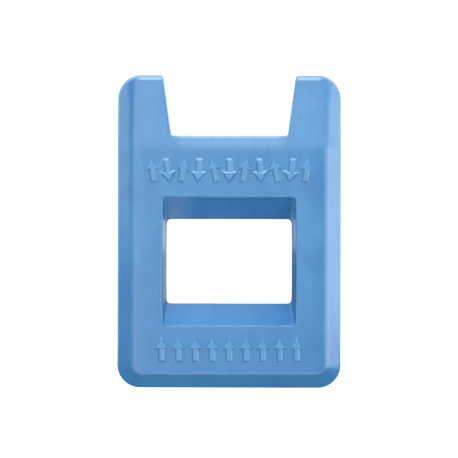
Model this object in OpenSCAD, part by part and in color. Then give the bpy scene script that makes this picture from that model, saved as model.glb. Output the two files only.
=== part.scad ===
// Pocket magnetizer and demagnetizer: a two-part moulded block with two ferrite magnets sealed inside.
// It lies on its back. X is the width, Y runs from the base bar to the prongs, and Z comes out of the front.
// The origin is the middle of the outline, on the surface that the block lies on.

/* [Body] */
// Width across the prongs
body_w = 35.8; // [34:0.1:40]
// Length from the base bar to the prong tips
body_l = 50; // [49:0.1:52]
// Thickness of the body, without the raised marks
body_t = 11.5; // [11:0.1:14]
// Radius of the four outer corners
corner_r = 3.75; // [3:0.05:5]
// Thickness of the moulded walls
wall = 1.5; // [1.3:0.05:1.6]

/* [Bevels and slope] */
// Width of the bevel along the sides and the base, seen from the front
bevel_w = 2.45; // [1.8:0.05:2.8]
// Depth of that bevel
bevel_d = 2.5; // [2:0.05:2.8]
// Width of the narrow bevel across the prong tips
tip_bevel_w = 0.75; // [0.5:0.05:1]
// Depth of the narrow bevel across the prong tips
tip_bevel_d = 0.95; // [0.6:0.05:1.2]
// Where the faces start to slope towards the prong tips
crease_y = 13.2; // [12.5:0.1:13.8]
// Angle of that slope
slope_a = 8.4; // [4:0.2:9]

/* [Window] */
// Width of the window at its narrowest, halfway through the body
window_w = 20; // [18:0.1:21]
// Height of the window there
window_h = 13.4; // [12:0.1:14]
// Middle of the window along Y
window_y = -4.8; // [-5.2:0.05:-4.4]
// Width of the window at the front and back faces
window_rim_w = 21.1; // [21:0.1:22.4]
// Height of the window at the front and back faces
window_rim_h = 20.3; // [18:0.1:20.6]

/* [Notch] */
// Floor of the notch between the prongs
notch_y = 15.25; // [14.8:0.05:16]
// Width of the notch at its floor
notch_w = 18.7; // [16:0.1:20]
// Lean of each side of the notch
notch_lean = 7.5; // [4:0.1:9]
// Angle of the lead-in in front of the notch floor
lead_in_a = 15; // [12:0.5:18]

/* [Magnets] */
// Length of each ferrite block, across the body
magnet_l = 29; // [24:0.5:29.5]
// Width of each ferrite block, along Y, which is the way it is magnetized
magnet_w = 7.6; // [6:0.1:7.8]
// Height of each ferrite block
magnet_h = 6.6; // [5:0.1:6.8]
// Middle of the crossbar magnet along Y
crossbar_magnet_y = 9.15; // [9.05:0.05:9.25]
// Middle of the base magnet along Y
base_magnet_y = -19.1; // [-19.2:0.05:-19]

/* [Raised marks] */
// Height of the marks above the front face
mark_h = 0.25; // [0.2:0.05:0.5]
// Length of one arrow
arrow_l = 3.4; // [3:0.1:3.6]
// Width of an arrow's head
arrow_w = 1.95; // [1.6:0.05:2.1]
// Width of an arrow's shaft
stroke = 0.7; // [0.5:0.05:0.8]
// Number of arrows in the mixed row, beside the notch
mixed_count = 11; // [7:2:11]
// Length of the mixed row
mixed_row_l = 26.4; // [25:0.1:27]
// Number of arrows in the aligned row, below the window
aligned_count = 9; // [5:2:9]
// Length of the aligned row
aligned_row_l = 23.4; // [22:0.1:25]

/* [Hidden] */

$fn = 32;
eps = 0.01;
blue = [0.33, 0.60, 0.84];
ferrite = [0.20, 0.20, 0.21];
resin = [0.86, 0.80, 0.62];

half_t = body_t / 2;
face_w = body_w - 2 * bevel_w;
face_bottom = -body_l / 2 + bevel_w;
face_top = body_l / 2 - tip_bevel_w;
bevel_a = atan(bevel_d / bevel_w);
tip_bevel_a = atan(tip_bevel_d / tip_bevel_w);
bevel_r = corner_r - bevel_w;
corner_steps = 4;
slope_drop = (face_top - crease_y) * tan(slope_a);
window_r = 0.55;
window_rim_r = 0.75;
notch_r = 0.5;
notch_overrun = 2;
lead_in_l = 6;
lead_in_h = 4;

// Locating pins in the side bars and the prongs
pin_d = 2;
boss_d = 4.2;
pin_fit = 0.06;
pin_reach = 1.8;
pin_end_gap = 0.3;
side_pin_x = 14;
side_pin_y = window_y;
prong_pin_x = 14.2;
prong_pin_y = 18.6;

// Tongue on the rear shell and groove in the front one, along every edge of the parting plane
tongue_in = 0.5;
tongue_w = 0.5;
tongue_h = 0.4;
tongue_fit = 0.05;
tongue_end_gap = 0.1;

// Cradle ribs that hold the magnets
rib_t = 1.1;
rib_l = 12.5;
rib_count = 5;
rib_pitch = 0.86 * magnet_l / (rib_count - 1);
magnet_fit = 0.12;
adhesive_t = 0.4;
adhesive_in = 1.5;
end_stop_l = 1.4;

// Raised marks. Each arrow of the mixed row leans by its own share of the largest tilt.
mixed_y = 9.65;
aligned_y = -18.85;
mark_sink = 0.15;
head_l = 0.72 * arrow_w;
largest_tilt = 13;
first_phase = 40;
phase_step = 100;

// A rectangle with round corners, centred
module arc_plate(w, l, r) {
    square([w - 2 * r, l], center = true);
    square([w, l - 2 * r], center = true);
    for (x = [-1, 1], y = [-1, 1]) {
        translate([x * (w / 2 - r), y * (l / 2 - r)]) circle(r);
    }
}

// Everything above a plane. The plane passes through a point and slopes down along the azimuth.
// With inset, it moves in by that much.
module above_plane(point, azimuth, angle, inset) {
    translate(point) {
        rotate([0, angle, azimuth]) {
            translate([-body_l, -body_l, -inset]) cube([2 * body_l, 2 * body_l, body_t]);
        }
    }
}

// Half of the block without its openings, from the parting plane out to the face.
// With inset, every wall moves in by that much.
module solid_half(inset = 0) {
    difference() {
        linear_extrude(half_t - inset) {
            arc_plate(body_w - 2 * inset, body_l - 2 * inset, corner_r - inset);
        }
        above_plane([0, crease_y, half_t], 90, slope_a, inset);
        above_plane([0, face_top, half_t - slope_drop], 90, tip_bevel_a, inset);
        above_plane([0, face_bottom, half_t], -90, bevel_a, inset);
        for (side = [0, 180]) {
            translate([0, crease_y, half_t]) {
                rotate([-slope_a, 0, 0]) {
                    above_plane([face_w / 2 * cos(side), 0, 0], side, bevel_a, inset);
                }
            }
            for (turn = [0 : corner_steps - 1]) {
                azimuth = side - cos(side) * turn * 90 / corner_steps;
                outward = [cos(azimuth), sin(azimuth), 0];
                above_plane(base_corner(side) + bevel_r * outward, azimuth, bevel_a, inset);
            }
        }
    }
}

// Middle of the arc of a base corner, at the face's height
function base_corner(side) = [
    (body_w / 2 - corner_r) * cos(side),
    -body_l / 2 + corner_r,
    half_t,
];

// The window's opening in one half: narrow at the parting plane and wide at the face
module window_half(grow = 0) {
    hull() {
        translate([0, window_y, -1]) {
            linear_extrude(1) {
                arc_plate(window_w + 2 * grow, window_h + 2 * grow, window_r + grow);
            }
        }
        translate([0, window_y, half_t]) {
            linear_extrude(1) {
                arc_plate(window_rim_w + 2 * grow, window_rim_h + 2 * grow, window_rim_r + grow);
            }
        }
    }
}

// Outline of the notch, open at the prong tips, with rounded corners at its floor
module notch_outline(grow = 0) {
    floor_y = notch_y - grow;
    rise = body_l / 2 + notch_overrun - floor_y;
    floor_half = notch_w / 2 + grow;
    mouth_half = floor_half + rise * tan(notch_lean);
    reach = notch_r * tan((90 - notch_lean) / 2);
    side_x = floor_half + reach * sin(notch_lean);
    side_y = floor_y + reach * cos(notch_lean);
    polygon([
        [-floor_half + reach, floor_y],
        [floor_half - reach, floor_y],
        [side_x, side_y],
        [mouth_half, floor_y + rise],
        [-mouth_half, floor_y + rise],
        [-side_x, side_y],
    ]);
    for (side = [-1, 1]) {
        translate([side * (floor_half - reach), floor_y + notch_r]) circle(notch_r);
    }
}

// The notch and its lead-in, cut from one half
module notch_half(grow = 0) {
    translate([0, 0, -1]) {
        linear_extrude(half_t + 2) notch_outline(grow);
    }
    translate([0, crease_y, half_t]) {
        rotate([-lead_in_a, 0, 0]) {
            translate([-notch_w / 2, -eps, 0]) cube([notch_w, lead_in_l, lead_in_h]);
        }
    }
}

// One half of the moulded form, with its openings
module half_form(inset = 0) {
    difference() {
        solid_half(inset);
        window_half(inset);
        notch_half(inset);
    }
}

// A lip that follows the outline, the notch and the window
module lip_outline(edge) {
    difference() {
        arc_plate(body_w - 2 * edge, body_l - 2 * edge, corner_r - edge);
        notch_outline(edge);
        translate([0, window_y]) {
            arc_plate(window_w + 2 * edge, window_h + 2 * edge, window_r + edge);
        }
    }
}

module lip(height, fit = 0) {
    linear_extrude(height) {
        difference() {
            lip_outline(tongue_in - fit);
            lip_outline(tongue_in + tongue_w + fit);
        }
    }
}

// A place for each locating pin
module at_pins() {
    for (side = [-1, 1]) {
        translate([side * side_pin_x, side_pin_y, 0]) children();
        translate([side * prong_pin_x, prong_pin_y, 0]) children();
    }
}

module at_magnets() {
    for (y = [crossbar_magnet_y, base_magnet_y]) {
        translate([0, y, 0]) children();
    }
}

// Ribs and end stops that stay in the hollow of a half, and the bosses for its pins
module inner_ribs() {
    at_magnets() {
        for (i = [0 : rib_count - 1]) {
            translate([(i - (rib_count - 1) / 2) * rib_pitch, 0, half_t / 2]) {
                cube([rib_t, rib_l, half_t], center = true);
            }
        }
        for (side = [-1, 1]) {
            translate([side * (magnet_l / 2 + end_stop_l / 2), 0, half_t / 2]) {
                cube([end_stop_l, rib_l, half_t], center = true);
            }
        }
    }
    at_pins() cylinder(h = half_t, d = boss_d);
}

module magnet_pockets(depth) {
    at_magnets() {
        cube([magnet_l + 2 * magnet_fit, magnet_w + 2 * magnet_fit, 2 * depth], center = true);
    }
}

// One shell, its hollow and its cradles, with the parting plane at z = 0 and the face up
module shell_half(pocket_depth) {
    difference() {
        half_form();
        difference() {
            translate([0, 0, -eps]) half_form(wall);
            inner_ribs();
        }
        magnet_pockets(pocket_depth);
    }
}

// An arrow pointing along +Y, centred
module arrow() {
    polygon([
        [-stroke / 2, -arrow_l / 2],
        [stroke / 2, -arrow_l / 2],
        [stroke / 2, arrow_l / 2 - head_l],
        [arrow_w / 2, arrow_l / 2 - head_l],
        [0, arrow_l / 2],
        [-arrow_w / 2, arrow_l / 2 - head_l],
        [-stroke / 2, arrow_l / 2 - head_l],
    ]);
}

// Arrows that cancel each other, one up and the next down, each with its own tilt
module mixed_arrows() {
    pitch = (mixed_row_l - arrow_w) / (mixed_count - 1);
    for (i = [0 : mixed_count - 1]) {
        flip = i % 2 == 0 ? 0 : 180;
        translate([(i - (mixed_count - 1) / 2) * pitch, mixed_y]) {
            rotate(flip + largest_tilt * sin(first_phase + i * phase_step)) arrow();
        }
    }
}

// Arrows that all point the same way
module aligned_arrows() {
    pitch = (aligned_row_l - arrow_w) / (aligned_count - 1);
    for (i = [0 : aligned_count - 1]) {
        translate([(i - (aligned_count - 1) / 2) * pitch, aligned_y]) arrow();
    }
}

module front_shell() {
    color(blue) {
        translate([0, 0, half_t]) {
            difference() {
                shell_half(magnet_h / 2);
                at_pins() {
                    translate([0, 0, -eps]) {
                        cylinder(h = pin_reach + pin_end_gap, d = pin_d + 2 * pin_fit);
                    }
                }
                translate([0, 0, -eps]) lip(tongue_h + tongue_end_gap, tongue_fit);
            }
            translate([0, 0, half_t - mark_sink]) {
                linear_extrude(mark_h + mark_sink) {
                    mixed_arrows();
                    aligned_arrows();
                }
            }
        }
    }
}

module rear_shell() {
    color(blue) {
        translate([0, 0, half_t]) {
            mirror([0, 0, 1]) shell_half(magnet_h / 2 + adhesive_t);
            at_pins() {
                translate([0, 0, -1]) cylinder(h = pin_reach + 1, d = pin_d);
            }
            translate([0, 0, -eps]) lip(tongue_h + eps);
        }
    }
}

module magnet_block() {
    cube([magnet_l, magnet_w, magnet_h], center = true);
}

module crossbar_magnet() {
    color(ferrite) {
        translate([0, crossbar_magnet_y, half_t]) magnet_block();
    }
}

module base_magnet() {
    color(ferrite) {
        translate([0, base_magnet_y, half_t]) magnet_block();
    }
}

// A bed of cured adhesive, between a magnet and the floor of its cradle
module adhesive_bed() {
    translate([0, 0, half_t - magnet_h / 2 - adhesive_t]) {
        linear_extrude(adhesive_t) {
            arc_plate(magnet_l - 2 * adhesive_in, magnet_w - 2 * adhesive_in, adhesive_in);
        }
    }
}

module crossbar_adhesive() {
    color(resin) translate([0, crossbar_magnet_y, 0]) adhesive_bed();
}

module base_adhesive() {
    color(resin) translate([0, base_magnet_y, 0]) adhesive_bed();
}

rear_shell();
front_shell();
crossbar_magnet();
base_magnet();
crossbar_adhesive();
base_adhesive();
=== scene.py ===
"""Pocket magnetizer and demagnetizer: a clamshell of satin blue plastic with two ferrite magnets inside.

The shells are worked out as fields, in millimetres and negative in the plastic, and netted into meshes."""

import math

import bpy
import numpy as np
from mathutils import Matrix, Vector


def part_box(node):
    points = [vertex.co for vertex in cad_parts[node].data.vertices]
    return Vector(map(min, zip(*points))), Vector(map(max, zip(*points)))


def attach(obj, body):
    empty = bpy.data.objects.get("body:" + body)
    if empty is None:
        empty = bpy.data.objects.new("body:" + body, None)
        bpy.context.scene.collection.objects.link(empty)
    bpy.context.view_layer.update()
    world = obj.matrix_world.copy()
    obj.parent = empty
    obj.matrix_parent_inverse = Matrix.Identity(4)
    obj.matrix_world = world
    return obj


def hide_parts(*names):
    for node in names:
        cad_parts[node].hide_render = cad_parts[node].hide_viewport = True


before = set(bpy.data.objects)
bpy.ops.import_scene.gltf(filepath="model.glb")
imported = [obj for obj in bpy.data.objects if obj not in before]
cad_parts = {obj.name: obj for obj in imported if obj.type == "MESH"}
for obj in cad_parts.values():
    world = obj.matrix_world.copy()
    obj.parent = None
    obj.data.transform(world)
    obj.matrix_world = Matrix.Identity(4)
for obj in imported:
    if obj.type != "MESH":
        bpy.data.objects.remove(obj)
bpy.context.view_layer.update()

MM = 0.001
BODY = "root"

# ---------------------------------------------------------------- sizes, in millimetres
(back_low, back_high), (front_low, front_high) = [
    [[value / MM for value in corner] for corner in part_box(node)] for node in ("rear_shell", "front_shell")
]
HALF_W = back_high[0]
HALF_L = back_high[1]
HALF_T = front_low[2]
MARK_H = front_high[2] - 2 * HALF_T
MAGNETS = [
    [[value / MM for value in corner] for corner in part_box(node)]
    for node in ("crossbar_magnet", "base_magnet")
]
POCKET = MAGNETS[0][1][2] - HALF_T
BED = MAGNETS[0][0][2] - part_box("crossbar_adhesive")[0][2] / MM

CORNER_R = 3.75
BEVEL_W = 2.45
BEVEL_D = 2.5
TIP_BEVEL_W = 0.85
TIP_BEVEL_D = 0.62
TIP_BEVEL_SOFTNESS = 0.12
SIDE_SOFTNESS = 0.25
BASE_SOFTNESS = 0.1
TIP_SOFTNESS = 0.2
CROWN = 0.09
CROWN_W = 2.6
DRAFT = math.tan(math.radians(1.0))
WALL = 1.5
CEILING = 1.75

CREASE_Y = 13.2
CREASE_BLEND = 0.65
SLOPE = math.tan(math.radians(8.4))
LEAD_IN = math.tan(math.radians(16.0))
LEAD_IN_HALF = 8.4
LEAD_IN_FADE = 1.1

WINDOW_Y = -4.8
WINDOW_HALF = (10.0, 6.68)
WINDOW_RIM_HALF = (10.45, 10.15)
WINDOW_R = 0.55
WINDOW_BOW = 0.05
RIM_LEFT, RIM_RIGHT, RIM_LOWER, RIM_UPPER = 0.42, 0.25, 0.06, 0.16
RIM_MITRE = 1.07

NOTCH_Y = 15.25
NOTCH_HALF = 9.35
NOTCH_LEAN = math.radians(7.5)
NOTCH_R = 0.5

MIXED_Y, MIXED_COUNT, MIXED_ROW = 9.65, 11, 26.4
ALIGNED_Y, ALIGNED_COUNT, ALIGNED_ROW = -18.85, 9, 23.4
MIXED_TILT, FIRST_PHASE, PHASE_STEP = 13, 40, 100
ARROW_L, ARROW_W, STROKE = 3.4, 1.95, 0.7
ARROW_HEAD = ARROW_W * 0.72
MARK_EDGE = 0.18

PINS = [(side * x, y) for side in (-1, 1) for x, y in ((14.0, WINDOW_Y), (14.2, 18.6))]
PIN_R, BOSS_R, PIN_FIT, PIN_REACH = 1.0, 2.1, 0.06, 1.8
PIN_ROOT, PIN_END_GAP = 1, 0.3
RIB_T, RIB_REACH, RIB_COUNT, RIB_SPAN = 1.1, 6.25, 5, 0.86
END_STOP = 1.4
POCKET_FIT = 0.12
FILLET = 0.35
PARTING_R = 0.12


# ---------------------------------------------------------------- fields
def soft_step(value, half):
    """0 below -half, 1 above half, smooth between."""
    t = np.clip(value / (2 * half) + 0.5, 0, 1)
    return t * t * (3 - 2 * t)


def soft_ramp(value, half):
    """0 below -half, the value itself above half, and a parabola between."""
    return np.where(np.abs(value) < half, (value + half) ** 2 / (4 * half), np.maximum(value, 0))


def filleted(a, b, radius):
    """Inside both fields, with a rounded edge where they meet."""
    reach = np.hypot(np.maximum(a + radius, 0), np.maximum(b + radius, 0))
    return np.minimum(np.maximum(a, b), -radius) + reach


def round_rectangle(x, y, half_w, half_l, radius):
    """Distance to a rectangle with round corners, in the plane."""
    dx = np.abs(x) - half_w + radius
    dy = np.abs(y) - half_l + radius
    return np.hypot(np.maximum(dx, 0), np.maximum(dy, 0)) + np.minimum(np.maximum(dx, dy), 0) - radius


def arrow(x, y, at_x, at_y, turn):
    """Distance to one arrow, which points along +Y before its turn."""
    c, s = math.cos(turn), math.sin(turn)
    u = (x - at_x) * c + (y - at_y) * s
    v = (y - at_y) * c - (x - at_x) * s
    neck = ARROW_L / 2 - ARROW_HEAD
    shaft = np.maximum(np.abs(u) - STROKE / 2, np.abs(v - neck / 2 + ARROW_L / 4) - neck / 2 - ARROW_L / 4)
    lean = math.hypot(ARROW_HEAD, ARROW_W / 2)
    flank = (np.abs(u) * ARROW_HEAD + (v - ARROW_L / 2) * ARROW_W / 2) / lean
    return np.minimum(shaft, np.maximum(flank, neck - v))


def marks(x, y):
    """Distance to the nearest arrow: a mixed row beside the notch, and an aligned row below the window."""
    near = np.full(np.broadcast(x, y).shape, 9.0)
    pitch = (MIXED_ROW - ARROW_W) / (MIXED_COUNT - 1)
    for i in range(MIXED_COUNT):
        turn = math.radians(180 * (i % 2) + MIXED_TILT * math.sin(math.radians(i * PHASE_STEP + FIRST_PHASE)))
        near = np.minimum(near, arrow(x, y, (i - (MIXED_COUNT - 1) / 2) * pitch, MIXED_Y, turn))
    pitch = (ALIGNED_ROW - ARROW_W) / (ALIGNED_COUNT - 1)
    for i in range(ALIGNED_COUNT):
        near = np.minimum(near, arrow(x, y, (i - (ALIGNED_COUNT - 1) / 2) * pitch, ALIGNED_Y, 0))
    return near


def face_height(x, y):
    """Height of the face, its slope, its lead-in and its bevels above the parting plane."""
    behind = soft_ramp(y - CREASE_Y, CREASE_BLEND)
    off_middle = soft_step(np.abs(x) - LEAD_IN_HALF, LEAD_IN_FADE)
    top = HALF_T - (LEAD_IN + (SLOPE - LEAD_IN) * off_middle) * behind
    beyond = round_rectangle(x, y - HALF_L, HALF_W - BEVEL_W, 2 * HALF_L - BEVEL_W, CORNER_R - BEVEL_W)
    softness = BASE_SOFTNESS + (SIDE_SOFTNESS - BASE_SOFTNESS) * soft_step(y + HALF_L - CORNER_R, CORNER_R)
    softness = softness + TIP_SOFTNESS * soft_step(y - HALF_L + CORNER_R, CORNER_R / 2)
    wide = BEVEL_D * soft_ramp(beyond / BEVEL_W, softness)
    crown = CROWN * np.clip((np.abs(x) - HALF_W + BEVEL_W) / CROWN_W + 1, 0, 1) ** 2
    turn = np.arctan2(np.maximum(y - HALF_L + CORNER_R, 0), np.maximum(np.abs(x) - HALF_W + CORNER_R, 1e-6))
    inside = -round_rectangle(x, y, HALF_W, HALF_L, CORNER_R)
    narrow = soft_ramp(TIP_BEVEL_W * turn / (math.pi / 2) - inside, TIP_BEVEL_SOFTNESS)
    return top - crown - wide - TIP_BEVEL_D / TIP_BEVEL_W * narrow


def window(x, y, z, margin):
    """The window's opening, negative inside it. It widens from the parting plane to the face."""
    rise = z / HALF_T
    half_w = WINDOW_HALF[0] + (WINDOW_RIM_HALF[0] - WINDOW_HALF[0]) * rise + margin[0]
    half_h = WINDOW_HALF[1] + (WINDOW_RIM_HALF[1] - WINDOW_HALF[1]) * rise + margin[1]
    bow = WINDOW_BOW * (1 - ((y - WINDOW_Y) / WINDOW_HALF[1]) ** 2)
    flank = HALF_T / math.hypot(HALF_T, WINDOW_RIM_HALF[1] - WINDOW_HALF[1])
    return filleted(np.abs(x) - half_w - bow, (np.abs(y - WINDOW_Y - margin[2]) - half_h) * flank, WINDOW_R)


def notch(x, y):
    """The notch between the prongs, negative inside it."""
    side = (np.abs(x) - NOTCH_HALF) * math.cos(NOTCH_LEAN) - (y - NOTCH_Y) * math.sin(NOTCH_LEAN)
    return filleted(side, NOTCH_Y - y, NOTCH_R)


def slabs(x, y):
    """Cradle ribs, end stops and pin bosses that stand in the hollow."""
    near = np.full(np.broadcast(x, y).shape, 9.0)
    for low, high in MAGNETS:
        middle, half = (low[1] + high[1]) / 2, (high[0] - low[0]) / 2
        along = np.abs(y - middle) - RIB_REACH
        pitch = 2 * half / (RIB_COUNT - 1) * RIB_SPAN
        for i in range(RIB_COUNT):
            across = np.abs(x - (i - (RIB_COUNT - 1) / 2) * pitch) - RIB_T / 2
            near = np.minimum(near, np.maximum(across, along))
        near = np.minimum(near, np.maximum(np.abs(np.abs(x) - half - END_STOP / 2) - END_STOP / 2, along))
    for px, py in PINS:
        near = np.minimum(near, np.hypot(x - px, y - py) - BOSS_R)
    return near


def shell_field(pocket, margin, trim, marked, pins):
    """The field of one shell, with z counted from the parting plane out to the face."""

    def field(x, y, z):
        outline = round_rectangle(x, y, HALF_W - trim, HALF_L - trim, CORNER_R) + DRAFT * z
        height = face_height(x, y)
        raised = MARK_H * soft_step(MARK_EDGE / 3 - marks(x, y), MARK_EDGE) if marked else 0
        opening = window(x, y, z, margin)
        gap = notch(x, y)
        at_side = np.abs(x) > np.abs(y - WINDOW_Y) * RIM_MITRE
        side_rim = np.where(x < 0, RIM_LEFT, RIM_RIGHT)
        end_rim = np.where(y < WINDOW_Y, RIM_LOWER, RIM_UPPER)
        outer = filleted(z - height - raised, outline, FILLET)
        outer = filleted(outer, -opening, np.where(at_side, side_rim, end_rim))
        outer = filleted(outer, -gap, FILLET)
        outer = filleted(outer, -z, PARTING_R)
        hollow = np.maximum(np.maximum(z - height + CEILING, outline + WALL), WALL - np.minimum(opening, gap))
        hollow = np.maximum(hollow, -slabs(x, y))
        for low, high in MAGNETS:
            across = np.abs(x) - (high[0] - low[0]) / 2 - POCKET_FIT
            along = np.abs(y - (low[1] + high[1]) / 2) - (high[1] - low[1]) / 2 - POCKET_FIT
            hollow = np.minimum(hollow, np.maximum(np.maximum(across, along), z - pocket))
        solid = np.maximum(outer, -hollow)
        for px, py in PINS:
            away = np.hypot(x - px, y - py)
            if pins:
                solid = np.minimum(solid, np.maximum(np.maximum(away - PIN_R, -PIN_REACH - z), z - PIN_ROOT))
            else:
                solid = np.maximum(solid, -np.maximum(away - PIN_R - PIN_FIT, z - PIN_REACH - PIN_END_GAP))
        return solid

    return field


# ---------------------------------------------------------------- meshes
GRID_MARGIN = 0.3
SETTLING_ROUNDS = 5
LONGEST_MOVE = 0.08
LEAST_SLOPE = 0.05


def lines(*stretches):
    """Grid lines along one axis. Each stretch is (start, end, spacing)."""
    found = [
        np.linspace(start, end, max(2, int(round((end - start) / spacing)) + 1))[:-1]
        for start, end, spacing in stretches
    ]
    return np.append(np.concatenate(found), stretches[-1][1])


def slope_of(field, points, step=0.01):
    """Gradient of a field at some points."""
    parts = []
    for axis in range(3):
        move = np.zeros(3)
        move[axis] = step
        ahead, back = points + move, points - move
        parts.append((field(*ahead.T) - field(*back.T)) / (2 * step))
    return np.stack(parts, axis=1)


def net(field, xs, ys, zs):
    """A closed quad mesh of a field's zero surface: one vertex in each grid cell that the surface crosses."""
    value = field(*np.meshgrid(xs, ys, zs, indexing="ij"))
    inside = value < 0
    cells = tuple(n - 1 for n in value.shape)
    total = np.zeros(cells + (3,))
    hits = np.zeros(cells)
    crossings = []
    grid = (xs, ys, zs)
    for axis in range(3):
        low = [slice(None)] * 3
        high = [slice(None)] * 3
        low[axis], high[axis] = slice(None, -1), slice(1, None)
        a, b = value[tuple(low)], value[tuple(high)]
        crossed = inside[tuple(low)] != inside[tuple(high)]
        t = np.where(crossed, a / np.where(crossed, a - b, 1), 0)
        place = []
        for other in range(3):
            shape = [1, 1, 1]
            shape[other] = -1
            if other == axis:
                start, length = grid[other][:-1].reshape(shape), np.diff(grid[other]).reshape(shape)
                place.append(start + t * length)
            else:
                place.append(np.broadcast_to(grid[other].reshape(shape), t.shape))
        point = np.stack(place, axis=-1) * crossed[..., None]
        for first in (slice(None, -1), slice(1, None)):
            for second in (slice(None, -1), slice(1, None)):
                part = [slice(None)] * 3
                part[(axis + 1) % 3], part[(axis + 2) % 3] = first, second
                total += point[tuple(part)]
                hits += crossed[tuple(part)]
        crossings.append((axis, crossed, inside[tuple(low)]))
    used = hits > 0
    number = np.full(cells, -1)
    number[used] = np.arange(used.sum())
    points = total[used] / hits[used][:, None]
    quads = []
    for axis, crossed, inner in crossings:
        core = [slice(1, -1)] * 3
        core[axis] = slice(None)
        at = np.argwhere(crossed[tuple(core)])
        outward = inner[tuple(core)][tuple(at.T)]
        around = []
        for first, second in ((0, 0), (1, 0), (1, 1), (0, 1)):
            cell = at.copy()
            cell[:, (axis + 1) % 3] += first
            cell[:, (axis + 2) % 3] += second
            around.append(number[tuple(cell.T)])
        ring = np.stack(around, axis=1)
        quads.append(np.where(outward[:, None], ring, ring[:, ::-1]))
    quads = np.concatenate(quads)
    for _ in range(SETTLING_ROUNDS):
        gradient = slope_of(field, points)
        steepness = np.maximum((gradient**2).sum(axis=1), LEAST_SLOPE)[:, None]
        step = field(*points.T)[:, None] * gradient / steepness
        points -= np.clip(step, -LONGEST_MOVE, LONGEST_MOVE)
    return points, quads, slope_of(field, points)


def shell(name, replaced, field, facing):
    """One moulded half, from its field. facing is 1 for the front half and -1 for the back."""
    fine = 0.15 if facing > 0 else 0.4
    half = [(0.0, 13.35, fine), (13.35, 17.2, 0.35), (17.2, HALF_W + GRID_MARGIN, 0.17)]
    xs = lines(*[(-end, -start, spacing) for start, end, spacing in half[::-1]], *half)
    ys = lines(
        (-HALF_L - GRID_MARGIN, -24.5, 0.18),
        (-24.5, -20.75, 0.33),
        (-20.75, -16.95, fine),
        (-16.95, -15.2, 0.3),
        (-15.2, -14.7, 0.07),
        (-14.7, -14.0, 0.3),
        (-14.0, -10.7, 0.36),
        (-10.7, 1.1, 0.65),
        (1.1, 5.0, 0.38),
        (5.0, 5.8, 0.16),
        (5.8, 7.75, 0.45),
        (7.75, 11.55, fine),
        (11.55, 14.9, 0.3),
        (14.9, 15.9, 0.16),
        (15.9, 23.7, 0.42),
        (23.7, HALF_L + GRID_MARGIN, 0.15),
    )
    zs = lines((-2.0, -0.14, 0.62), (-0.14, 0.26, 0.1), (0.26, 3.9, 0.45), (3.9, 6.3, 0.3))
    points, quads, normals = net(field, xs, ys, zs)
    flip = np.array([1, 1, facing])
    points = (points * flip + [0, 0, HALF_T]) * MM
    normals = normals * flip
    if facing < 0:
        quads = quads[:, ::-1]
    mesh = bpy.data.meshes.new(name)
    mesh.from_pydata(points.tolist(), [], quads.tolist())
    mesh.validate()
    mesh.shade_smooth()
    normals /= np.maximum(np.linalg.norm(normals, axis=1), 1e-9)[:, None]
    mesh.normals_split_custom_set_from_vertices(normals.tolist())
    piece = bpy.data.objects.new(name, mesh)
    bpy.context.scene.collection.objects.link(piece)
    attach(piece, BODY)
    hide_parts(replaced)
    return piece


front = shell(
    "front_moulding",
    "front_shell",
    shell_field(POCKET, (0.12, 0.1, 0.06), 0.0, marked=True, pins=False),
    1,
)
rear = shell(
    "rear_moulding",
    "rear_shell",
    shell_field(POCKET + BED, (0.0, 0.0, 0.0), 0.03, marked=False, pins=True),
    -1,
)


# ---------------------------------------------------------------- materials
class Value:
    """A number's socket, with the arithmetic that its expressions use."""

    def __init__(self, paint, socket):
        self.paint = paint
        self.socket = socket

    def combine(self, other, operation, swapped=False):
        pair = [other, self] if swapped else [self, other]
        return self.paint.node("ShaderNodeMath", {"operation": operation}, {0: pair[0], 1: pair[1]})

    def __add__(self, other):
        return self.combine(other, "ADD")

    __radd__ = __add__

    def __mul__(self, other):
        return self.combine(other, "MULTIPLY")

    __rmul__ = __mul__

    def __sub__(self, other):
        return self.combine(other, "SUBTRACT")

    def __rsub__(self, other):
        return self.combine(other, "SUBTRACT", swapped=True)


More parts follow.
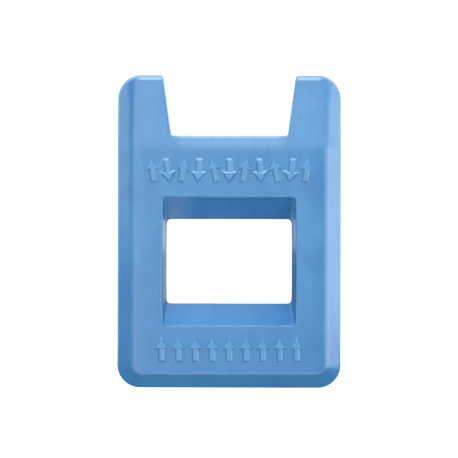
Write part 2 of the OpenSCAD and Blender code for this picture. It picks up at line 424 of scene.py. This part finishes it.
class Paint:
    """One material and its nodes."""

    def __init__(self, name):
        self.material = bpy.data.materials.new(name)
        self.material.use_nodes = True
        self.tree = self.material.node_tree
        self.shader = self.tree.nodes["Principled BSDF"]

    def node(self, kind, settings, sockets, output=0):
        """Adds a node: its settings first, then the values or links of its sockets."""
        made = self.tree.nodes.new(kind)
        for key, value in settings.items():
            if key == "stops":
                ramp = made.color_ramp
                for i, (position, shade) in enumerate(value):
                    stop = ramp.elements[i] if i < 2 else ramp.elements.new(position)
                    stop.position = position
                    stop.color = (shade, shade, shade, 1)
            else:
                setattr(made, key, value)
        for key, value in sockets.items():
            self.feed(made.inputs[key], value)
        return Value(self, made.outputs[output])

    def feed(self, socket, value):
        if isinstance(value, Value):
            self.tree.links.new(value.socket, socket)
        else:
            socket.default_value = value

    def place(self, scale=1.0, stretch=(1, 1, 1), shift=0.0):
        """Object coordinates in units of a length: scale is in metres, and shift is in those units."""
        spot = self.node("ShaderNodeTexCoord", {}, {}, output="Object")
        factors = tuple(s / scale for s in stretch)
        spot = self.node("ShaderNodeVectorMath", {"operation": "MULTIPLY"}, {0: spot, 1: factors})
        if not shift:
            return spot
        return self.node("ShaderNodeVectorMath", {"operation": "ADD"}, {0: spot, 1: (shift, shift, shift)})

    def noise(self, scale, detail=2.0, roughness=0.5, stretch=(1, 1, 1), shift=0.0):
        """Noise about scale metres across."""
        spot = self.place(scale, stretch, shift)
        return self.node(
            "ShaderNodeTexNoise",
            {"noise_dimensions": "3D"},
            {"Vector": spot, "Scale": 1.0, "Detail": detail, "Roughness": roughness},
        )

    def along(self, axis, start, end):
        """0 at one place along an axis of the object, and 1 at another."""
        spot = self.node("ShaderNodeTexCoord", {}, {}, output="Object")
        reach = self.node("ShaderNodeSeparateXYZ", {}, {0: spot}, output=axis)
        return self.node("ShaderNodeMapRange", {}, {"Value": reach, "From Min": start, "From Max": end})

    def specks(self, spacing, radius, rarity, shift=0.0):
        """Small round dots, in the cells whose random shade passes rarity. radius is in spacings."""
        cells = {"Vector": self.place(spacing, shift=shift), "Scale": 1.0, "Randomness": 1.0}
        reach = self.node("ShaderNodeTexVoronoi", {"feature": "F1"}, cells, output="Distance")
        shade = self.node("ShaderNodeTexVoronoi", {"feature": "F1"}, cells, output="Color")
        dot = self.ramp(reach, (radius, 1), (2 * radius, 0))
        return dot * self.ramp(shade, (rarity, 0), (rarity + 0.01, 1))

    def ramp(self, value, *stops):
        return self.node("ShaderNodeValToRGB", {"stops": stops}, {"Fac": value})

    def blend(self, share, first, second):
        """Mixes two colours."""
        return self.node("ShaderNodeMix", {"data_type": "RGBA"}, {0: share, 6: first, 7: second}, output=2)

    def bump(self, height, distance, strength, under=None):
        sockets = {"Height": height, "Distance": distance, "Strength": strength}
        if under is not None:
            sockets["Normal"] = under
        return self.node("ShaderNodeBump", {}, sockets)

    def finish(self, constants, varying):
        for key, value in {**constants, **varying}.items():
            self.feed(self.shader.inputs[key], value)
        return self.material


def blue_plastic():
    """Satin moulded plastic: soft mottling, a fine grain, faint drag lines, and dark and pale specks, with
    painted shade that deepens the blue from the window's lower rim down over the lower end.
    """
    paint = Paint("blue_plastic")
    mottle = paint.noise(0.0032, detail=3.0)
    cloud = paint.noise(0.010, detail=2.0, shift=3.7)
    streak = paint.noise(0.0011, detail=1.0, stretch=(1.0, 0.16, 0.16), shift=8.1)
    base = (0.017, 0.204, 0.476, 1)
    pale = (0.038, 0.247, 0.533, 1)
    deep = (0.005, 0.158, 0.415, 1)
    colour = paint.blend(paint.ramp(mottle, (0.35, 0), (0.65, 1)) * 0.6, base, pale)
    colour = paint.blend(paint.ramp(cloud, (0.4, 0), (0.68, 1)) * 0.7, colour, deep)
    colour = paint.blend(paint.ramp(streak, (0.45, 0), (0.75, 1)) * 0.3, colour, deep)
    # Painted shade: the blue deepens from the window's lower rim (y -13.5 mm) to y -18 mm and stays deep over
    # the lower end and its bevel.
    colour = paint.blend(paint.along("Y", -0.0135, -0.018) * 0.6, colour, deep)
    colour = paint.blend(paint.along("Z", 0.01156, 0.01168) * 0.4, colour, (0.075, 0.325, 0.640, 1))
    colour = paint.blend(paint.specks(0.0021, 0.05, 0.42) * 0.75, colour, (0.006, 0.10, 0.30, 1))
    colour = paint.blend(paint.specks(0.0045, 0.02, 0.6, shift=0.037) * 0.6, colour, (0.6, 0.75, 0.9, 1))
    grain = paint.noise(0.00022, detail=2.0, roughness=0.6)
    sink = paint.noise(0.0055, detail=1.0, shift=1.9)
    under = paint.bump(sink, 0.00012, 0.5)
    relief = paint.bump(grain, 0.00002, 0.35, under)
    roughness = 0.33 + mottle * 0.06 + grain * 0.04
    return paint.finish(
        {"IOR": 1.6, "Specular IOR Level": 1.0},
        {"Base Color": colour, "Roughness": roughness, "Normal": relief},
    )


def ferrite():
    """Sintered ferrite: charcoal grey, ground, with a fine crystalline grain and small pits."""
    paint = Paint("ferrite")
    grain = paint.noise(0.0004, detail=6.0, roughness=0.7)
    cloud = paint.noise(0.005, detail=3.0, shift=2.2)
    pits = paint.ramp(paint.noise(0.0009, detail=2.0, shift=6.4), (0.24, 0), (0.34, 1))
    colour = paint.blend(grain, (0.012, 0.012, 0.013, 1), (0.032, 0.032, 0.035, 1))
    colour = paint.blend(cloud * 0.4, colour, (0.045, 0.042, 0.04, 1))
    relief = paint.bump(grain * 0.4 + pits, 0.00006, 0.6)
    return paint.finish({}, {"Base Color": colour, "Roughness": 0.5 + grain * 0.25, "Normal": relief})


def resin():
    """Cured adhesive: pale amber, glossy, with small bubbles and ripples."""
    paint = Paint("resin")
    ripple = paint.noise(0.0022, detail=2.0)
    bubbles = paint.node(
        "ShaderNodeTexVoronoi",
        {"feature": "SMOOTH_F1"},
        {"Vector": paint.place(0.0012), "Scale": 1.0},
        output="Distance",
    )
    colour = paint.blend(ripple, (0.62, 0.50, 0.25, 1), (0.78, 0.70, 0.46, 1))
    relief = paint.bump(ripple + bubbles * 0.5, 0.00015, 0.5)
    roughness = 0.16 + ripple * 0.14
    return paint.finish({"IOR": 1.52}, {"Base Color": colour, "Roughness": roughness, "Normal": relief})


def coat(piece, material):
    piece.data.materials.clear()
    piece.data.materials.append(material)


plastic = blue_plastic()
coat(front, plastic)
coat(rear, plastic)
magnet_finish = ferrite()
for node in ("crossbar_magnet", "base_magnet"):
    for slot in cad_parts[node].material_slots:
        slot.material = magnet_finish
    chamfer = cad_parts[node].modifiers.new("ground_edges", "BEVEL")
    chamfer.width = 0.0003
    chamfer.segments = 2
bed_finish = resin()
for node in ("crossbar_adhesive", "base_adhesive"):
    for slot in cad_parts[node].material_slots:
        slot.material = bed_finish


# ---------------------------------------------------------------- floor, lights and camera
def flat_paint(name, colour, glow):
    material = bpy.data.materials.new(name)
    material.use_nodes = True
    shader = material.node_tree.nodes["Principled BSDF"]
    shader.inputs["Base Color"].default_value = (*colour, 1)
    shader.inputs["Roughness"].default_value = 0.9
    shader.inputs["Emission Color"].default_value = (*colour, 1)
    shader.inputs["Emission Strength"].default_value = glow
    return material


FLOOR_GAP = 0.00005
MIRRORED = (
    (0, 0, 0, 0, 0),
    (0, 1, 0, 0, 1),
    (0, 1, 1, 0, 1),
    (1, 1, 1, 1, 1),
)


def make_floor():
    """One pale floor in sheets, with rows from -Y to +Y. The plastic mirrors only the sheets marked 1."""
    paint = flat_paint("pale_floor", (0.95, 0.95, 0.95), 0.9)
    xs = (-1.5, -0.042, -0.0076, 0.0075, 0.0181, 1.5)
    ys = (-1.5, -0.0215, -0.003, 0.0022, 1.5)
    for row, marks_in_row in enumerate(MIRRORED):
        for column, mirrored in enumerate(marks_in_row):
            (left, right), (low, high) = xs[column : column + 2], ys[row : row + 2]
            mesh = bpy.data.meshes.new(f"floor_{row}_{column}")
            outline = ((left, low), (right, low), (right, high), (left, high))
            mesh.from_pydata([(x, y, -FLOOR_GAP) for x, y in outline], [], [(0, 1, 2, 3)])
            sheet = bpy.data.objects.new(mesh.name, mesh)
            bpy.context.scene.collection.objects.link(sheet)
            coat(sheet, paint)
            sheet.visible_glossy = bool(mirrored)


LIGHT_DISTANCE = 0.9


def softbox(name, azimuth, elevation, size, radiance):
    """A square light aimed at the object. Azimuth 0 is towards +X and 90 towards +Y."""
    light = bpy.data.lights.new(name, "AREA")
    light.shape = "SQUARE"
    light.size = size
    light.energy = radiance * math.pi * size * size
    lamp = bpy.data.objects.new(name, light)
    a, e = math.radians(azimuth), math.radians(elevation)
    direction = (math.cos(a) * math.cos(e), math.sin(a) * math.cos(e), math.sin(e))
    lamp.location = [LIGHT_DISTANCE * c for c in direction]
    lamp.rotation_euler = (0, math.pi / 2 - e, a)
    lamp.visible_camera = False
    bpy.context.scene.collection.objects.link(lamp)


def make_lights():
    """A pale room and a ring of softboxes, strongest low behind the prongs and low on the right."""
    world = bpy.data.worlds.new("studio")
    world.use_nodes = True
    sky = world.node_tree.nodes["Background"]
    sky.inputs["Color"].default_value = (1, 1, 1, 1)
    sky.inputs["Strength"].default_value = 0.08
    bpy.context.scene.world = world
    for azimuth, elevation, radiance in (
        (90, 72, 0.7),
        (135, 72, 0.85),
        (180, 72, 1.15),
        (225, 72, 0.85),
        (0, 50, 1.3),
        (45, 50, 1.6),
        (90, 50, 1.8),
        (135, 50, 1.9),
        (180, 50, 0.7),
        (225, 50, 0.8),
        (270, 50, 2.0),
        (315, 50, 0.95),
        (0, 30, 2.0),
        (270, 30, 1.6),
        (90, 30, 5.9),
        (135, 30, 1.5),
        (180, 30, 0.6),
        (225, 30, 0.5),
        (315, 30, 0.6),
        (90, 10, 4.6),
    ):
        softbox(f"softbox_{azimuth}_{elevation}", azimuth, elevation, 0.4, radiance)
    softbox("softbox_right_low", 0, 10, 0.3, 5.2)


CAMERA_DISTANCE = 0.45
VIEW_WIDTH = 0.07359
VIEW_CENTRE = (-0.00003, 0.00039)
CAMERA_ROLL = math.radians(0.13)


def make_camera():
    camera = bpy.data.cameras.new("camera")
    camera.sensor_width = 36
    camera.lens = camera.sensor_width * CAMERA_DISTANCE / VIEW_WIDTH
    camera.clip_start = 0.01
    stand = bpy.data.objects.new("camera", camera)
    stand.location = (*VIEW_CENTRE, HALF_T * MM + CAMERA_DISTANCE)
    stand.rotation_euler = (0, 0, CAMERA_ROLL)
    bpy.context.scene.collection.objects.link(stand)
    bpy.context.scene.camera = stand


make_floor()
make_lights()
make_camera()
bpy.context.scene.view_settings.view_transform = "Standard"
